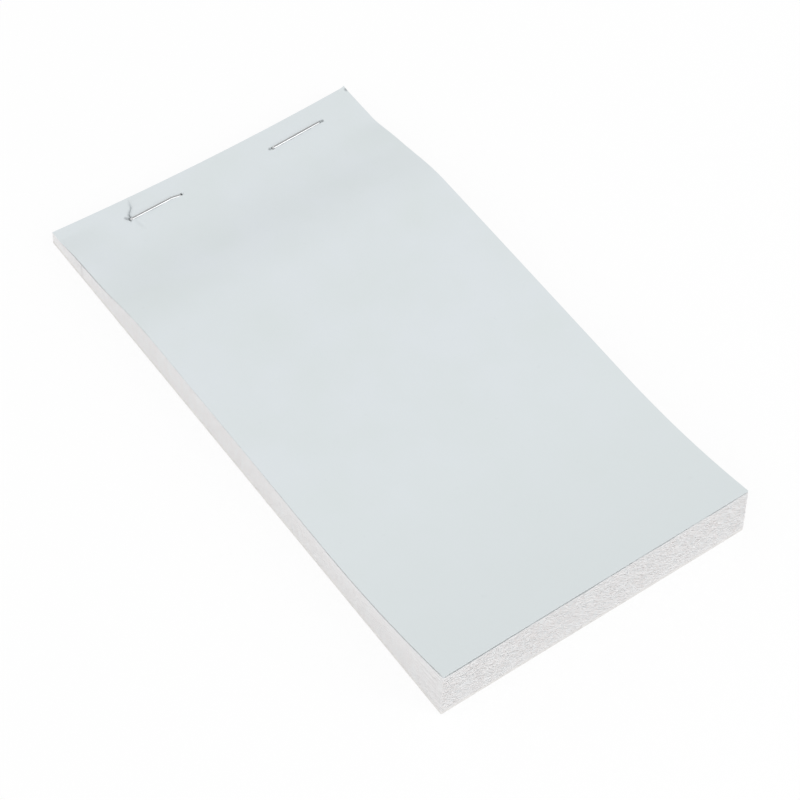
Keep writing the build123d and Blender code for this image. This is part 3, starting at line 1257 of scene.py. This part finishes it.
class RECEIPTBOOK_OT_set_stage(bpy.types.Operator):
    """Set the floor, the light and the camera"""

    bl_idname = "receipt_book.set_stage"
    bl_label = "Set stage"

    def execute(self, context):
        context.scene.view_settings.view_transform = "Standard"
        self.lay_floor()
        self.hang_lights(context.scene)
        self.aim_camera(context.scene)
        return {"FINISHED"}

    def lay_floor(self):
        """Lay a wide white floor under the book."""
        half = 3.0
        mesh = bpy.data.meshes.new("floor")
        corners = [(-half, -half, 0.0), (half, -half, 0.0), (half, half, 0.0), (-half, half, 0.0)]
        mesh.from_pydata(corners, [], [(0, 1, 2, 3)])
        make_piece("floor", mesh, floor_white())

    def hang_lights(self, scene):
        """Light the book from all round, less from above the stapled end, and from a tall lamp in front."""
        studio = book().studio
        left_side = Vector((-0.906, -0.423, 0.0))
        patch_middle = Vector((0.375, 0.458, 0.806)).normalized()
        patch_rim, rim_width = 0.85, 0.12  # as cosines of the angle from the middle of the patch
        lamp_width, lamp_height, lamp_place = 0.24, 0.7, (0.32, -0.54, 0.44)
        world = bpy.data.worlds.new("Studio white")
        world.use_nodes = True
        tree = world.node_tree
        towards = result(tree, "ShaderNodeTexCoord", label="Generated")

        def facing(direction):
            """How nearly the light comes from a direction, from -1 to 1."""
            inputs = {0: towards, 1: direction}
            return result(tree, "ShaderNodeVectorMath", inputs, "Value", operation="DOT_PRODUCT")

        shade = ((facing(patch_middle) - patch_rim) / rim_width).clamp() * studio.rear_shade
        around = tree.nodes["Background"]
        feed(around.inputs["Color"], WHITE)
        strength = facing(left_side) * studio.front_light - shade + studio.world_strength
        feed(around.inputs["Strength"], strength)
        scene.world = world
        key = bpy.data.lights.new("Key", "AREA")
        key.energy = studio.key_power
        key.shape = "RECTANGLE"
        key.size, key.size_y = lamp_width, lamp_height
        lamp = bpy.data.objects.new("Key", key)
        lamp.location = lamp_place
        lamp.rotation_euler = (Vector(studio.target) - lamp.location).to_track_quat("-Z", "Y").to_euler()
        scene.collection.objects.link(lamp)

    def aim_camera(self, scene):
        """Put the camera where the corners and edges of the book fall as in the photograph."""
        studio = book().studio
        turn, height = studio.azimuth, studio.elevation
        level = math.cos(height)
        back = Vector((math.sin(turn) * level, -math.cos(turn) * level, math.sin(height)))
        right = (-back).cross(Vector((0.0, 0.0, 1.0))).normalized()
        up = right.cross(-back)
        rolled_right = right * math.cos(studio.roll) + up * math.sin(studio.roll)
        rolled_up = up * math.cos(studio.roll) - right * math.sin(studio.roll)
        lens = bpy.data.cameras.new("Camera")
        lens.sensor_width = SENSOR_WIDTH
        lens.lens = studio.focal_pixels * SENSOR_WIDTH / IMAGE_WIDTH
        camera = bpy.data.objects.new("Camera", lens)
        turned = Matrix((rolled_right, rolled_up, back)).transposed().to_4x4()
        camera.matrix_world = Matrix.Translation(Vector(studio.target) + back * studio.distance) @ turned
        scene.collection.objects.link(camera)
        scene.camera = camera


class RECEIPTBOOK_PT_sidebar(bpy.types.Panel):
    """The book's steps, in order"""

    bl_idname = "RECEIPTBOOK_PT_sidebar"
    bl_label = "Receipt Book"
    bl_space_type = "VIEW_3D"
    bl_region_type = "UI"
    bl_category = "Receipt Book"

    def draw(self, context):
        for step in STEPS:
            self.layout.operator(step.bl_idname)


STEPS = (
    RECEIPTBOOK_OT_lay_leaves,
    RECEIPTBOOK_OT_press_stubs,
    RECEIPTBOOK_OT_lay_cover,
    RECEIPTBOOK_OT_bend_staples,
    RECEIPTBOOK_OT_cut_board,
    RECEIPTBOOK_OT_set_stage,
)
SETTINGS = (SheetLie, LeafCut, StapleWire, BookColours, StudioView, ReceiptBook)


def register():
    """Make the settings, the steps and the panel known to Blender."""
    for kind in (*SETTINGS, *STEPS, RECEIPTBOOK_PT_sidebar):
        bpy.utils.register_class(kind)
    bpy.types.Scene.receipt_book = PointerProperty(type=ReceiptBook)


def unregister():
    """Take the panel, the steps and the settings out again."""
    del bpy.types.Scene.receipt_book
    for kind in reversed((*SETTINGS, *STEPS, RECEIPTBOOK_PT_sidebar)):
        bpy.utils.unregister_class(kind)


def main():
    """Dress the whole book and set its stage."""
    register()
    paper_fibre_group()
    ruled_form_group()
    bpy.ops.receipt_book.lay_leaves()
    bpy.ops.receipt_book.press_stubs()
    bpy.ops.receipt_book.lay_cover()
    bpy.ops.receipt_book.bend_staples()
    bpy.ops.receipt_book.cut_board()
    bpy.ops.receipt_book.set_stage()


if __name__ == "__main__":
    main()
